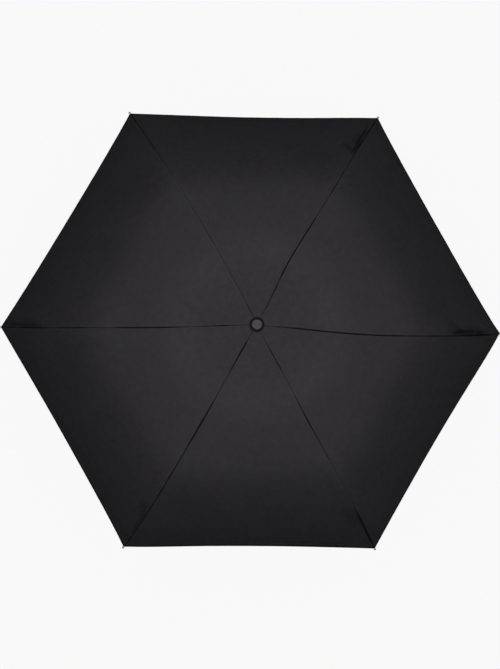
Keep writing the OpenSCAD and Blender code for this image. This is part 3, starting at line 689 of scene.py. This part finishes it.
# Heights of the cloth's smaller shapes, and the share by which the hem bows in at the middle of a panel
SEAM_BAND, SEAM_GROOVE, SEAM_PUCKER = 0.45 * MM, 0.55 * MM, 0.2 * MM
HEM_BAND, HEM_RUFFLE, RIPPLE, CREASE = 0.35 * MM, 0.3 * MM, 0.55 * MM, 0.7 * MM
HEM_BOW = 0.0065


def panel_of(rib, side):
    """The panel on one side of a rib: panel i lies between rib i and the next."""
    return rib if side > 0 else (rib - 2) % 6 + 1


def crease(rib, x, signed):
    """Depth of the tip creases, as a share: a bell across each line, and a run along it that fades at its ends."""
    total = np.zeros(np.broadcast(x, signed).shape)
    for r, share0, y0, share1, y1, width, depth in CREASES:
        if r == rib:
            start = np.array([share0 * tip_r, y0 * MM])
            reach = np.array([share1 * tip_r, y1 * MM]) - start
            length = np.linalg.norm(reach)
            ahead = reach / length
            t = ((x - start[0]) * ahead[0] + (signed - start[1]) * ahead[1]) / length
            off = -(x - start[0]) * ahead[1] + (signed - start[1]) * ahead[0]
            total += depth * hump(off, 0, width * MM) * smooth(-0.2, 0.25, t) * smooth(1.2, 0.75, t)
    return total


def fabric_shape(rib, side, x, y):
    """Where the cloth's middle is, for x along a rib's plan line and y away from it, both in metres.
    Height: the line over the rib, read at the radius where a level line parallel to the hem meets the rib,
    x + y tan 30, less a sag that grows as 1 - (1 - q) squared from the rib to the middle of the panel, plus the
    seam, hem, puckers, ripples, creases and streaks.
    Plan: the seam's wander fades out as (1 - q) squared, and the hem bows in by 3 mm at the middle."""
    level = x + y * TAN30
    q = np.clip(y / np.maximum(level * math.sqrt(3) / 4, 1e-6), 0, 1.02)
    across = 1 - (1 - q) ** 2
    panel = panel_of(rib, side)
    out_share = np.clip(level / tip_r, 0, 1.02)
    sag = SAG * SLACK[panel - 1] * np.sin(0.62 * math.pi * out_share) ** 2.2
    z = over_rib(level) - sag * across
    # The felled seam: a raised band on one side and a groove on the line
    signed = side * y
    z += SEAM_BAND * smooth(-1.2 * MM, 0.4 * MM, signed) * smooth(5.6 * MM, 4.2 * MM, signed)
    z -= SEAM_GROOVE * seam_open(rib, x) * hump(y, 0, 0.9 * MM)
    # The hem: two turns of cloth, drawn in by their stitches and a little ruffled between the ribs
    to_hem = (tip_r - level) * COS30
    z += HEM_BAND * (smooth(HEM, HEM - 1.2 * MM, to_hem) - hump(to_hem, HEM_GROOVE, 1.0 * MM))
    free = smooth(0, 0.25, q) * (1 - smooth(0.92, 1, q))
    z += HEM_RUFFLE * free * smooth(30 * MM, 0, to_hem) * np.sin(12 * math.pi * q + panel)
    # Puckers along the seam
    beat = 0.6 + 0.4 * np.sin(x / (31 * MM) + 2.1 * rib)
    pull = beat * np.sin(2 * math.pi * x / (17 * MM) + 1.3 * rib + 1.1 * np.sin(x / (23 * MM) + rib))
    z += SEAM_PUCKER * pull * np.exp(-y / (7 * MM)) * smooth(70 * MM, 150 * MM, x)
    # Long shallow ripples, the same on both sides of every border
    angle = (rib - 1) * NEXT
    px = math.cos(angle) * x - math.sin(angle) * signed
    py = math.sin(angle) * x + math.cos(angle) * signed
    calm = smooth(60 * MM, 160 * MM, level) * smooth(0.0, 0.12, q)
    z += RIPPLE * calm * np.sin(px * 41 + 1.3 * np.sin(py * 23)) * np.sin(py * 37 + 0.7)
    z -= CREASE * crease(rib, x, signed)
    for r, offset, start, end, width, height in STREAKS:
        if r == rib:
            along = smooth(start * MM, (start + 40) * MM, x) * smooth(end * MM, (end - 40) * MM, x)
            z += height * MM * hump(signed, offset * MM, width * MM) * along
    away = (1 - np.clip(q, 0, 1)) ** 2
    wander = wander_line[rib](np.clip(x, 0, tip_r)) * smooth(0, 12 * MM, tip_r - x)
    slope = (over_rib(level - 1 * MM) - over_rib(level + 1 * MM)) / (2 * MM)
    z += np.abs(wander) * slope * TAN30 * away
    bow = 1 - HEM_BOW * across * out_share ** 8
    return np.stack([x * bow, signed * bow + wander * away, z], -1)


def fabric_points(rib, side, x, y):
    """Middle points of the cloth and their outward directions, turned to the rib.
    The direction is the cross product of the two slopes, each taken over a tenth of a millimetre."""
    e = 0.05 * MM
    low = np.maximum(y, e)
    run = fabric_shape(rib, side, x + e, y) - fabric_shape(rib, side, x - e, y)
    fall = fabric_shape(rib, side, x, low + e) - fabric_shape(rib, side, x, low - e)
    out = np.cross(run, fall) * side
    out /= np.linalg.norm(out, axis=-1)[..., None]
    angle = (rib - 1) * NEXT
    return turn_about_shaft(fabric_shape(rib, side, x, y), angle), turn_about_shaft(out, angle)


def section_outline(part):
    """Ends of a fabric section in the plan of its rib: its line on the rib and its line at the panel's middle.
    The border at the outer hinge leans inward, so that no corner stands high when the ribs are folded up."""
    corner, lean = tip_r * COS30 ** 2, 24 * MM
    ends = {"top": (hole_r, elbow_r, hole_r, elbow_r), "middle": (elbow_r, outer_r, elbow_r, outer_r - lean),
            "tip": (outer_r, tip_r, outer_r - lean, corner)}[part]
    on_rib = np.array([[ends[0], 0], [ends[1], 0]])
    on_middle = np.array([[ends[2], ends[2] * TAN30], [ends[3], ends[3] * TAN30]])
    return on_rib, on_middle


def laid_flat(radius):
    """Length of cloth from the shaft's axis to a radius, measured along the line over the rib."""
    r = np.linspace(0, tip_r, 200)
    return np.interp(radius, r, np.concatenate([[0], np.cumsum(np.hypot(np.diff(r), np.diff(over_rib(r))))]))


def mark_cloth(mesh, rib, side, x, y, corner_point):
    """Stores at every point how far it is from the seam and the hem, how open the seam is and how deep the
    creases are, and lays the cloth flat as its UV map."""
    signed, level = side * y, x + y * TAN30
    values = {"from_seam": signed, "along_rib": x, "from_hem": (tip_r - level) * COS30,
              "along_hem": y * COS30 - x * 0.5, "seam_open": seam_open(rib, x),
              "crease": crease(rib, x, signed)}
    for key, value in values.items():
        both_faces = np.tile(value, 2).astype(np.float32)
        mesh.attributes.new(key, "FLOAT", "POINT").data.foreach_set("value", both_faces)
    flat = np.stack([np.tile(laid_flat(level), 2), np.tile(side * (y - x * TAN30), 2)], -1)
    uv = mesh.uv_layers.new(name="cloth")
    uv.data.foreach_set("uv", flat[corner_point].astype(np.float32).ravel())


def fabric_section(rib, side, part, name, body, rests):
    """One sewn half panel over one length of rib: a thin closed shell over the grid (1 - t) of the way along the
    rib's line plus t of the way along the panel's middle line, with t set closer near the seam."""
    on_rib, on_middle = section_outline(part)
    rows, columns = {"top": 56, "middle": 60, "tip": 68}[part], 40
    u = np.linspace(0, 1, rows)[:, None, None]
    t = (np.linspace(0, 1, columns) ** 1.8)[None, :, None]
    near = on_rib[0] + u * (on_rib[1] - on_rib[0])
    far = on_middle[0] + u * (on_middle[1] - on_middle[0])
    plan = (1 - t) * near + t * far
    x, y = plan[..., 0], plan[..., 1]
    middle, out = fabric_points(rib, side, x, y)
    upper = (middle + out * CLOTH_T / 2).reshape(-1, 3)
    under = (middle - out * CLOTH_T / 2).reshape(-1, 3)
    top_faces, low_faces, rim = shell_faces(rows, columns, flip=side > 0)
    faces = np.concatenate([top_faces, low_faces, rim])
    piece = put_mesh(name, np.concatenate([upper, under]), faces, CLOTH)
    mesh = piece.data
    # Directions per corner: the cloth's own on its two faces, flat ones on its rim
    corner_out = np.concatenate([out.reshape(-1, 3), -out.reshape(-1, 3)])[faces.ravel()]
    face_out = np.empty(3 * len(mesh.polygons))
    mesh.polygons.foreach_get("normal", face_out)
    corner_out[-4 * len(rim):] = np.repeat(face_out.reshape(-1, 3)[-len(rim):], 4, 0)
    mesh.normals_split_custom_set(corner_out)
    mark_cloth(mesh, rib, side, x.ravel(), y.ravel(), faces.ravel())
    # How it gathers when the frame closes: towards its rib, within its own plane
    line = middle[:, 0]
    ahead = line[-1] - line[0]
    ahead /= np.linalg.norm(ahead)
    sideways = middle[:, -1].mean(0) - line.mean(0)
    sideways -= (sideways @ ahead) * ahead
    sideways /= np.linalg.norm(sideways)
    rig.ride(piece, body)
    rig.squash(piece, "canopy_fold", axis=tuple(sideways), anchor=tuple(line.mean(0)), keep=0.065)
    # The cut: its length along the rib, its width across it and its area, laid flat
    run, wide = middle[1:, :-1] - middle[:-1, :-1], middle[:-1, 1:] - middle[:-1, :-1]
    area = float(np.linalg.norm(np.cross(run, wide), axis=-1).sum())
    length = float(np.ptp(middle.reshape(-1, 3) @ ahead))
    width = float(np.ptp(middle.reshape(-1, 3) @ sideways))
    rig.sheet(piece, flat=(width, length), held="stretched", rests_on=[rests], area=min(area, width * length))
    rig.replaces(piece, f"canopy_panel_{panel_of(rib, side)}")
    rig.slot(piece, "canopy_fabric")
    return piece


for rib in RIBS:
    for side, hand in ((1, "left"), (-1, "right")):
        for part, metal in (("top", "top_rib"), ("middle", "middle_rib"), ("tip", "tip_rib")):
            fabric_section(rib, side, part, f"canopy_{part}_{rib}_{hand}", f"{metal}_body_{rib}", f"{metal}_{rib}")


def under_cloth(rib, signed, x, drop):
    """Points at a drop below the cloth's middle, along its own direction, for x along a rib and a signed
    distance to either side of it."""
    left, left_out = fabric_points(rib, 1, x, np.abs(signed))
    right, right_out = fabric_points(rib, -1, x, np.abs(signed))
    take_left = (signed >= 0)[..., None]
    return np.where(take_left, left - left_out * drop, right - right_out * drop)


def thin_shell(name, upper, lower, finish):
    """A closed sheet between two grids of points of the same rows and columns."""
    points = np.concatenate([upper.reshape(-1, 3), lower.reshape(-1, 3)])
    piece = put_mesh(name, points, np.concatenate(shell_faces(*upper.shape[:2])), finish)
    face_outwards(piece)
    mark_sharp(piece, 40)
    return piece


# Small bridges of cloth under each fold of the ribs, which bend with the hinge
for rib in RIBS:
    for fold, r, inner_body, outer_body in (("elbow", elbow_r, "top_rib", "middle_rib"),
                                            ("outer", outer_r, "middle_rib", "tip_rib")):
        x = r + np.linspace(-11, 11, 33)[:, None] * MM + np.zeros((1, 21))
        y = np.linspace(-8, 8, 21)[None, :] * MM + np.zeros((33, 1))
        bridge = thin_shell(f"cloth_bridge_{fold}_{rib}", under_cloth(rib, y, x, 0.24 * MM),
                            under_cloth(rib, y, x, 0.5 * MM), CLOTH_PLAIN)
        ends = under_cloth(rib, np.zeros(2), np.array([r - 9 * MM, r + 9 * MM]), 3 * MM)
        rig.blend(bridge, f"{inner_body}_body_{rib}", f"{outer_body}_body_{rib}", start=tuple(ends[0]), end=tuple(ends[1]))
        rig.sheet(bridge, flat=(16 * MM, 22 * MM), held="stretched", rests_on=[f"{inner_body}_{rib}"])
        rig.slot(bridge, "canopy_fabric")

# ---- Closing strap, sewn under the hem between ribs 5 and 6 ----


def hem_points(panel, along, inward, drop):
    """Points under a panel, at a distance along its hem from its middle and a distance inward from the hem.
    Each half is read in the frame of its own rib, where x = p cos 30 + |s| / 2 and y = p / 2 - |s| cos 30."""
    p = tip_r * COS30 - inward
    x, y = p * COS30 + np.abs(along) / 2, p / 2 - np.abs(along) * COS30
    near, near_out = fabric_points(panel, 1, x, y)
    other, other_out = fabric_points(panel % 6 + 1, -1, x, y)
    take_near = (along < 0)[..., None]
    drop = np.broadcast_to(drop, along.shape)[..., None]
    return np.where(take_near, near - near_out * drop, other - other_out * drop)


strap_solid = solid_points("closing_strap")
strap_len = float(np.ptp(strap_solid[:, 0]))
strap_from_hem = 19 * MM
strap_share = np.linspace(-1, 1, 15)[None, :]
strap_at = np.linspace(-1, 1, 101)[:, None] * strap_len / 2 + np.zeros((1, 15))
# The ends are rounded: the width falls along a quarter ellipse over the last 3 mm
end_share = np.clip((np.abs(strap_at) - strap_len / 2 + 3 * MM) / (3.4 * MM), 0, 1)
strap_in = strap_from_hem + strap_share * 7 * MM * np.sqrt(np.clip(1 - end_share ** 2, 0, 1))
edge = 0.14 * MM * smooth(0.72, 0.95, np.abs(strap_share))
strap = thin_shell("closing_strap_band", hem_points(5, strap_at, strap_in, 0.35 * MM),
                   hem_points(5, strap_at, strap_in, 1.25 * MM + edge), CLOTH_PLAIN)
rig.ride(strap, "tip_rib_body_5")
strip = bpy.data.objects["canopy_tip_5_left"]["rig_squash"]
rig.squash(strap, "canopy_fold", axis=tuple(strip["axis"]), anchor=tuple(strip["anchor"]), keep=0.065)
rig.sheet(strap, flat=(14 * MM, strap_len), held="stretched", rests_on=["canopy_tip_5_left"])
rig.replaces(strap, "closing_strap")
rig.slot(strap, "canopy_fabric")

pad_at = np.linspace(-46, -22, 41)[:, None] * MM + np.zeros((1, 13))
pad_in = strap_from_hem + np.linspace(-5.5, 5.5, 13)[None, :] * MM + np.zeros((41, 1))
pad = thin_shell("closing_strap_hook_pad", hem_points(5, pad_at, pad_in, 1.2 * MM),
                 hem_points(5, pad_at, pad_in, 2.1 * MM), HOOKS)
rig.ride(pad, "tip_rib_body_5")
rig.squash(pad, "canopy_fold", axis=tuple(strip["axis"]), anchor=tuple(strip["anchor"]), keep=0.065)
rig.slot(pad, "black_plastic")

# ---- Thread ties that hold the seams to the ribs ----

TIE_DROP = 1.0 * MM


def tie_loop(rib, r, half, depth, shift):
    """A closed loop of thread across a rib: a squared circle, |a|^4 + |b|^4 = 1, from the cloth down round
    the metal, with its two sides a little apart."""
    a = np.linspace(0, 2 * math.pi, 28, endpoint=False)
    wide = np.sign(np.cos(a)) * np.sqrt(np.abs(np.cos(a)))
    tall = np.sign(np.sin(a)) * np.sqrt(np.abs(np.sin(a)))
    slope = float(over_rib(r + 1 * MM) - over_rib(r - 1 * MM)) / (2 * MM)
    run = np.array([1, 0, slope]) / math.hypot(1, slope)
    out = np.array([-slope, 0, 1]) / math.hypot(1, slope)
    top = np.array([r, 0, float(over_rib(r))]) + run * shift
    down = (TIE_DROP + depth / 2 - tall * depth / 2)[:, None]
    across = np.array([0, 1, 0]) * (half * wide)[:, None]
    path = top - out * down + across + run * (0.25 * MM * np.sin(a))[:, None]
    return turn_about_shaft(path, (rib - 1) * NEXT), turn_about_shaft(run, (rib - 1) * NEXT)


thread_r = 0.3 * MM
around = np.linspace(0, 2 * math.pi, 8, endpoint=False)
thread_round = thread_r * np.stack([np.cos(around), np.sin(around)], -1)
# Metal, radius, half width and depth of each loop, in mm
TIES = [("top_rib", 62, 2.3, 6.6), ("middle_rib", 214, 2.85, 8.6), ("middle_rib", 262, 2.85, 8.6),
        ("tip_rib", 345, 1.7, 5.4), ("tip_rib", 398, 1.7, 4.2)]
for rib in RIBS:
    for k, (metal, r, half, depth) in enumerate(TIES):
        turns = []
        for m in range(3):
            loop, run = tie_loop(rib, r * MM, half * MM, depth * MM, (m - 1) * 0.62 * MM)
            turns.append(swept(f"tie_{rib}_{k}_{m}", loop, thread_round, THREAD, up=tuple(run), closed=True))
        with bpy.context.temp_override(active_object=turns[0], selected_editable_objects=turns,
                                       selected_objects=turns):
            bpy.ops.object.join()
        turns[0].name = f"thread_tie_{metal}_{rib}_{k}"
        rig.ride(turns[0], f"{metal}_body_{rib}")

# ---- Cap and ring on the top ----

ring_box, cap_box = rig.box("top_ring"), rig.box("top_cap")
ring_r, cap_r = ring_box[1].x, cap_box[1].x - 1.5 * MM
cap_low = float(ring_box[1].z) + 0.1 * MM
cap_top = float(cap_box[1].z)


def cap_profile():
    """Outline of the cap: a flat rim, a rolled edge, a shallow step ring, two grooves and a dished middle."""
    edge_r = 1.3 * MM
    rim = np.array([[0, cap_low], [cap_r - 1.4 * MM, cap_low], [cap_r - 0.2 * MM, cap_low - 0.5 * MM]])
    a = np.linspace(0, math.pi / 2, 9)
    roll = np.stack([cap_r - edge_r + edge_r * np.cos(a), cap_top - edge_r + edge_r * np.sin(a)], -1)
    r = np.linspace(cap_r - edge_r, 0, 64)[1:]
    face = cap_top - 0.35 * MM * smooth(0.66 * cap_r, 0.60 * cap_r, r) - 0.3 * MM * smooth(0.5 * cap_r, 0, r)
    face += 0.25 * MM * (hump(r, 0.60 * cap_r, 0.35 * MM) - hump(r, 0.50 * cap_r, 0.3 * MM))
    face -= 0.6 * MM * hump(r, 0.32 * cap_r, 0.5 * MM)
    return np.concatenate([rim, roll, np.stack([r, face], -1)])


cap = turned("top_cap_moulding", cap_profile(), CAP_GREY, 128)
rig.ride(cap, "crown_part")
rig.replaces(cap, "top_cap")
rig.slot(cap, "cap_grey")

ring_hole = 4.9 * MM


def ring_low(r):
    """The ring's underside: it rises towards the middle with the cloth, at 14 degrees."""
    return float(ring_box[0].z) + (ring_r - r) * math.tan(math.radians(14))


ring = turned("top_ring_washer", round_corners([
    [ring_hole, ring_low(ring_hole)], [ring_r, ring_low(ring_r)], [ring_r, ring_low(ring_r) + 0.7 * MM],
    [ring_r - 0.7 * MM, ring_low(ring_r) + 1.3 * MM], [cap_r + 0.2 * MM, ring_low(cap_r) + 1.15 * MM],
    [ring_hole, ring_low(ring_hole) + 1.15 * MM]], 0.25 * MM), BLACK_PAINTED_SHADE, 128)
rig.ride(ring, "crown_part")
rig.replaces(ring, "top_ring")
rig.slot(ring, "black_plastic")

# ---- Handle ----

grip_box, collar_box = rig.box("handle_grip"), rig.box("handle_collar")
grip_r, grip_low, grip_top = float(grip_box[1].x), float(grip_box[0].z), float(grip_box[1].z)


def eased(off, reach, depth):
    """How far an edge is eased back at a distance from its end: a quarter ellipse, 1 - sqrt(1 - (1 - t)^2)."""
    return depth * (1 - np.sqrt(np.clip(1 - (1 - np.clip(off / reach, 0, 1)) ** 2, 0, 1)))


def grip_profile():
    """Outline of the grip: straight at its full radius, eased at both ends, with five shallow grooves
    near its foot."""
    bore = 9.5 * MM
    z = np.linspace(grip_low, grip_top, 360)
    ends = eased(z - grip_low, 1.2 * MM, 0.9 * MM) + eased(grip_top - z, 1.0 * MM, 0.7 * MM)
    grooves = sum(hump(z, grip_low + (6 + 3.2 * k) * MM, 0.45 * MM) for k in range(5))
    r = grip_r - ends - 0.45 * MM * grooves
    return np.concatenate([[[bore, grip_low]], np.stack([r, z], -1), [[bore, grip_top]]])


grip = turned("grip_sleeve", grip_profile(), GRIP, 128)
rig.ride(grip, "handle")
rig.replaces(grip, "handle_grip")
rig.slot(grip, "grip_rubber")

collar_low, collar_top = float(collar_box[0].z), float(collar_box[1].z)
tube_r = float(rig.box("lower_tube")[1].x)


def collar_profile():
    """Outline of the collar: a quarter ellipse from the grip's edge up to a small lip round the tube."""
    a = np.linspace(0, math.pi / 2, 30)
    bore, lip = tube_r + 0.08 * MM, tube_r + 1.5 * MM
    dome = np.stack([lip + (grip_r - 0.5 * MM - lip) * np.cos(a),
                     collar_low + (collar_top - collar_low - 0.5 * MM) * np.sin(a)], -1)
    return np.concatenate([[[bore, collar_low + 0.2 * MM]], dome,
                           [[lip, collar_top - 0.2 * MM], [lip - 0.3 * MM, collar_top], [bore, collar_top]]])


collar = turned("handle_collar_dome", collar_profile(), BLACK, 128)
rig.ride(collar, "handle")
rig.replaces(collar, "handle_collar")
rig.slot(collar, "black_plastic")

# ---- Rib tips ----


def tip_frame(rib):
    """The rib's angle, and in its own upright plane the place of its far ball and the way its end points."""
    angle = (rib - 1) * NEXT
    flat = turn_about_shaft(solid_points(f"tip_rib_{rib}"), -angle)
    from_end = flat[:, 0].max() - flat[:, 0]
    ball = flat[from_end < 3.8 * MM].mean(0)
    sleeve = flat[(from_end > 8 * MM) & (from_end < 12 * MM)].mean(0)
    ahead = (ball - sleeve) * np.array([1, 0, 1])
    ahead /= np.linalg.norm(ahead)
    return angle, ball * np.array([1, 0, 1]), ahead


def tip_profile():
    """Outline of a rib tip: a sleeve with a rolled rim, a waist and a round ball end."""
    ball_r = 2.15 * MM
    a = np.linspace(-0.9, math.pi / 2, 16)[:-1]
    sleeve = np.array([[0, -12.6], [1.9, -12.6], [2.2, -12.2], [2.2, -10.4],
                       [1.85, -9.9], [1.75, -6], [1.45, -2.6]])
    return np.concatenate([sleeve * MM, ball_r * np.stack([np.cos(a), np.sin(a)], -1), [[0, ball_r]]])


for rib in RIBS:
    angle, place, ahead = tip_frame(rib)
    across = np.array([0.0, 1.0, 0.0])
    third = np.cross(ahead, across)
    axes = turn_about_shaft(np.stack([third, across, ahead]), angle).T
    matrix = np.eye(4)
    matrix[:3, :3], matrix[:3, 3] = axes, turn_about_shaft(place, angle)
    cover = turned(f"rib_tip_cover_{rib}", tip_profile(), BLACK, 32, matrix, 50)
    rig.ride(cover, f"tip_rib_body_{rib}")
    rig.slot(cover, "black_plastic")

# ---- Finishes on the frame's own metal and plastic ----

# The longest start that a node's name has gives its finish
FINISH_BY_START = {
    "lower_tube": TUBE, "middle_tube": TUBE, "upper_tube": TUBE,
    "lower_tube_catch": SPRING, "middle_tube_catch": SPRING, "runner_catch": SPRING,
    "crown_pins": SPRING, "runner_pins": SPRING, "pull_wire": SPRING, "tip_rib": SPRING,
    "top_rib": RIB, "stretcher": RIB, "drive_link": RIB, "middle_rib": RIB,
    "handle": BLACK, "runner": BLACK, "crown": BLACK, "top_": BLACK,
}
for name, thing in frame["nodes"].items():
    best = max((k for k in FINISH_BY_START if name.startswith(k)), key=len, default=None)
    finish = FINISH_BY_START[best] if best else CLOTH
    if not thing.material_slots:
        thing.data.materials.append(finish)
    for place in thing.material_slots:
        place.material = finish

# ---- Floor, light and camera ----


def studio_floor():
    """A plain pale floor that stays near white to the eye and still takes a soft shadow."""
    s = Shader("studio_floor")
    s.wear(Base_Color=(0.6, 0.6, 0.6, 1), Roughness=0.9, Specular_IOR_Level=0.1)
    rays = s.nodes.new("ShaderNodeLightPath")
    seen = s.calc("MAXIMUM", s.calc("MAXIMUM", rays.outputs["Is Camera Ray"], rays.outputs["Is Glossy Ray"]),
                 rays.outputs["Is Transmission Ray"])
    glow = s.nodes.new("ShaderNodeEmission")
    glow.inputs["Color"].default_value = (1, 1, 1, 1)
    both = s.nodes.new("ShaderNodeMixShader")
    s.links.new(s.calc("MULTIPLY", seen, 0.93), both.inputs[0])
    s.links.new(s.skin.outputs[0], both.inputs[1])
    s.links.new(glow.outputs[0], both.inputs[2])
    s.links.new(both.outputs[0], s.out.inputs[0])
    return s.material


floor_z = float(cad_corners[0].z) - 1 * MM
half_floor = 14.0
floor_corners = np.array([[-1, -1, 0], [1, -1, 0], [1, 1, 0], [-1, 1, 0]]) * half_floor + [0, 0, floor_z]
floor = put_mesh("floor", floor_corners, [[0, 1, 2, 3]], studio_floor(), False)
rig.stage(floor)

world = bpy.data.worlds.new("studio")
bpy.context.scene.world = world
world.use_nodes = True
sky = world.node_tree
sky.nodes.clear()
sky_out = sky.nodes.new("ShaderNodeOutputWorld")
plain, white = sky.nodes.new("ShaderNodeBackground"), sky.nodes.new("ShaderNodeBackground")
plain.inputs[0].default_value, plain.inputs[1].default_value = (1, 1, 1, 1), 0.015
white.inputs[0].default_value, white.inputs[1].default_value = (1, 1, 1, 1), 1.0
path = sky.nodes.new("ShaderNodeLightPath")
choose = sky.nodes.new("ShaderNodeMixShader")
seen = path.outputs["Is Camera Ray"]
for kind in ("Is Glossy Ray", "Is Transmission Ray"):
    either = sky.nodes.new("ShaderNodeMath")
    either.operation = "MAXIMUM"
    sky.links.new(seen, either.inputs[0])
    sky.links.new(path.outputs[kind], either.inputs[1])
    seen = either.outputs[0]
sky.links.new(seen, choose.inputs[0])
sky.links.new(plain.outputs[0], choose.inputs[1])
sky.links.new(white.outputs[0], choose.inputs[2])
sky.links.new(choose.outputs[0], sky_out.inputs[0])


def soft_light(name, place, aim, size, power):
    """A square soft light at a place, facing an aim point."""
    lamp = bpy.data.lights.new(name, "AREA")
    lamp.shape, lamp.size, lamp.energy = "SQUARE", size, power
    thing = bpy.data.objects.new(name, lamp)
    bpy.context.scene.collection.objects.link(thing)
    thing.location = place
    thing.visible_camera = False
    thing.rotation_mode = "QUATERNION"
    thing.rotation_quaternion = (Vector(place) - Vector(aim)).to_track_quat("Z", "Y")
    return thing


soft_light("overhead", place=(0, 0, 0.9), aim=(0, 0, 0.4), size=1.3, power=7.4)

eye = bpy.data.cameras.new("camera")
camera = bpy.data.objects.new("camera", eye)
bpy.context.scene.collection.objects.link(camera)
bpy.context.scene.camera = camera
aim, far = Vector((0, 0, 0.38)), 2.6
heading, height, roll = math.radians(-130.0), math.radians(86.57), math.radians(0.63)
back = Vector((math.cos(height) * math.cos(heading), math.cos(height) * math.sin(heading), math.sin(height)))
right = (-back).cross(Vector((0, 1, 0))).normalized()
upward = right.cross(-back)
right_r = right * math.cos(roll) + upward * math.sin(roll)
upward_r = -right * math.sin(roll) + upward * math.cos(roll)
spin = Matrix((right_r, upward_r, back)).transposed()
camera.matrix_world = Matrix.Translation(aim + back * far) @ spin.to_4x4()
eye.sensor_width = 36
eye.lens = 79.34
eye.shift_x, eye.shift_y = -0.0052, -0.009
eye.clip_start, eye.clip_end = 0.01, 100

bpy.context.scene.view_settings.view_transform = "Standard"

seen_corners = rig.bounds()
with open("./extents.json", "w") as out:
    json.dump({"cad": [list(map(float, c)) for c in cad_corners], "visual": [list(map(float, c)) for c in seen_corners]}, out)
